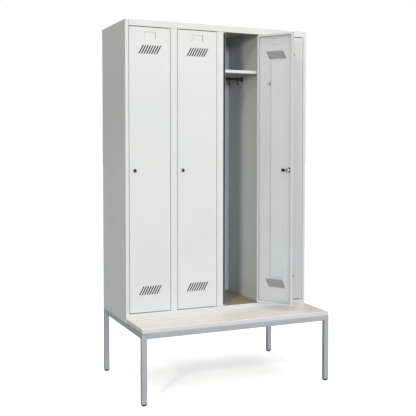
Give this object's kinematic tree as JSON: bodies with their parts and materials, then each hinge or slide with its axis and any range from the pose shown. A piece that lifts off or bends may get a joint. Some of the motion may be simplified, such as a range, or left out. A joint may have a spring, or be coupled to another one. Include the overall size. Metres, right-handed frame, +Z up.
{
  "type": "locker with bench",
  "caption": "Steel clothes locker with narrow hinged doors on a square-tube bench frame, with a wooden seat board in front.",
  "frame": {"origin": "on the floor, in the middle of the space that the locker and its bench take", "axes": "+Z up, the doors and the seat face -Y, +X to the right of someone who stands in front"},
  "size_m": [1.2, 0.8, 2.18],
  "materials": {
    "cabinet_paint": "light grey powder coat, smooth and half matt",
    "bench_paint": "silver grey powder coat",
    "seat_wood": "pale varnished board with the grain along its length",
    "foot_plastic": "black moulded plastic",
    "rail_steel": "dark coated steel",
    "hook_plastic": "black moulded plastic",
    "lock_metal": "dark metal lock housing",
    "cam_brass": "dull brass"
  },
  "bodies": {
    "cabinet": {"bench_leg_front_left": "bench_paint", "foot_front_left": "foot_plastic", "bench_leg_front_right": "bench_paint", "foot_front_right": "foot_plastic", "bench_leg_back_left": "bench_paint", "foot_back_left": "foot_plastic", "bench_leg_back_right": "bench_paint", "foot_back_right": "foot_plastic", "bench_rail_front": "bench_paint", "bench_rail_back": "bench_paint", "bench_rail_left": "bench_paint", "bench_rail_right": "bench_paint", "bench_cross_rail": "bench_paint", "seat_board": "seat_wood", "side_panel_left": "cabinet_paint", "side_panel_right": "cabinet_paint", "front_post_left": "cabinet_paint", "front_post_right": "cabinet_paint", "back_panel": "cabinet_paint", "top_panel": "cabinet_paint", "floor_panel": "cabinet_paint", "partition_1": "cabinet_paint", "partition_2": "cabinet_paint", "partition_3": "cabinet_paint", "hat_shelf_1": "cabinet_paint", "coat_rail_1": "rail_steel", "hat_shelf_2": "cabinet_paint", "coat_rail_2": "rail_steel", "hat_shelf_3": "cabinet_paint", "coat_rail_3": "rail_steel", "hat_shelf_4": "cabinet_paint", "coat_rail_4": "rail_steel"},
    "leaf_1": {"door_1": "cabinet_paint", "door_stiffener_1": "cabinet_paint", "towel_hook_1": "rail_steel", "lock_body_1": "lock_metal"},
    "cam_1": {"lock_cam_1": "cam_brass"},
    "hook_1a": {"coat_hook_1a": "hook_plastic"},
    "hook_1b": {"coat_hook_1b": "hook_plastic"},
    "leaf_2": {"door_2": "cabinet_paint", "door_stiffener_2": "cabinet_paint", "towel_hook_2": "rail_steel", "lock_body_2": "lock_metal"},
    "cam_2": {"lock_cam_2": "cam_brass"},
    "hook_2a": {"coat_hook_2a": "hook_plastic"},
    "hook_2b": {"coat_hook_2b": "hook_plastic"},
    "leaf_3": {"door_3": "cabinet_paint", "door_stiffener_3": "cabinet_paint", "towel_hook_3": "rail_steel", "lock_body_3": "lock_metal"},
    "cam_3": {"lock_cam_3": "cam_brass"},
    "hook_3a": {"coat_hook_3a": "hook_plastic"},
    "hook_3b": {"coat_hook_3b": "hook_plastic"},
    "leaf_4": {"door_4": "cabinet_paint", "door_stiffener_4": "cabinet_paint", "towel_hook_4": "rail_steel", "lock_body_4": "lock_metal"},
    "cam_4": {"lock_cam_4": "cam_brass"},
    "hook_4a": {"coat_hook_4a": "hook_plastic"},
    "hook_4b": {"coat_hook_4b": "hook_plastic"}
  },
  "joints": [
    {"name": "door_hinge_1", "type": "hinge", "parent": "cabinet", "child": "leaf_1", "pos_m": [-0.3312, -0.095, 1.3], "axis": [0, 0, 1], "range_deg": [0, 122]},
    {"name": "cam_turn_1", "type": "hinge", "parent": "leaf_1", "child": "cam_1", "pos_m": [-0.543, -0.1, 1.3], "axis": [0, 1, 0], "range_deg": [0, 180]},
    {"name": "hook_slide_1a", "type": "slide", "parent": "cabinet", "child": "hook_1a", "axis": [1, 0, 0], "range_m": [-0.171, 0.026]},
    {"name": "hook_slide_1b", "type": "slide", "parent": "cabinet", "child": "hook_1b", "axis": [1, 0, 0], "range_m": [-0.026, 0.024]},
    {"name": "door_hinge_2", "type": "hinge", "parent": "cabinet", "child": "leaf_2", "pos_m": [-0.0312, -0.095, 1.3], "axis": [0, 0, 1], "range_deg": [0, 122]},
    {"name": "cam_turn_2", "type": "hinge", "parent": "leaf_2", "child": "cam_2", "pos_m": [-0.243, -0.1, 1.3], "axis": [0, 1, 0], "range_deg": [0, 180]},
    {"name": "hook_slide_2a", "type": "slide", "parent": "cabinet", "child": "hook_2a", "axis": [1, 0, 0], "range_m": [-0.193, 0.026]},
    {"name": "hook_slide_2b", "type": "slide", "parent": "cabinet", "child": "hook_2b", "axis": [1, 0, 0], "range_m": [-0.026, 0.024]},
    {"name": "door_hinge_3", "type": "hinge", "parent": "cabinet", "child": "leaf_3", "pos_m": [0.2688, -0.095, 1.3], "axis": [0, 0, 1], "range_deg": [-122, 0]},
    {"name": "cam_turn_3", "type": "hinge", "parent": "leaf_3", "child": "cam_3", "pos_m": [0.38528, -0.27197, 1.3], "axis": [-0.848, -0.5299, 0], "range_deg": [0, 180]},
    {"name": "hook_slide_3a", "type": "slide", "parent": "cabinet", "child": "hook_3a", "axis": [1, 0, 0], "range_m": [-0.193, 0.026]},
    {"name": "hook_slide_3b", "type": "slide", "parent": "cabinet", "child": "hook_3b", "axis": [1, 0, 0], "range_m": [-0.026, 0.024]},
    {"name": "door_hinge_4", "type": "hinge", "parent": "cabinet", "child": "leaf_4", "pos_m": [0.5688, -0.095, 1.3], "axis": [0, 0, 1], "range_deg": [0, 122]},
    {"name": "cam_turn_4", "type": "hinge", "parent": "leaf_4", "child": "cam_4", "pos_m": [0.357, -0.1, 1.3], "axis": [0, 1, 0], "range_deg": [0, 180]},
    {"name": "hook_slide_4a", "type": "slide", "parent": "cabinet", "child": "hook_4a", "axis": [1, 0, 0], "range_m": [-0.193, 0.026]},
    {"name": "hook_slide_4b", "type": "slide", "parent": "cabinet", "child": "hook_4b", "axis": [1, 0, 0], "range_m": [-0.026, 0.046]}
  ]
}
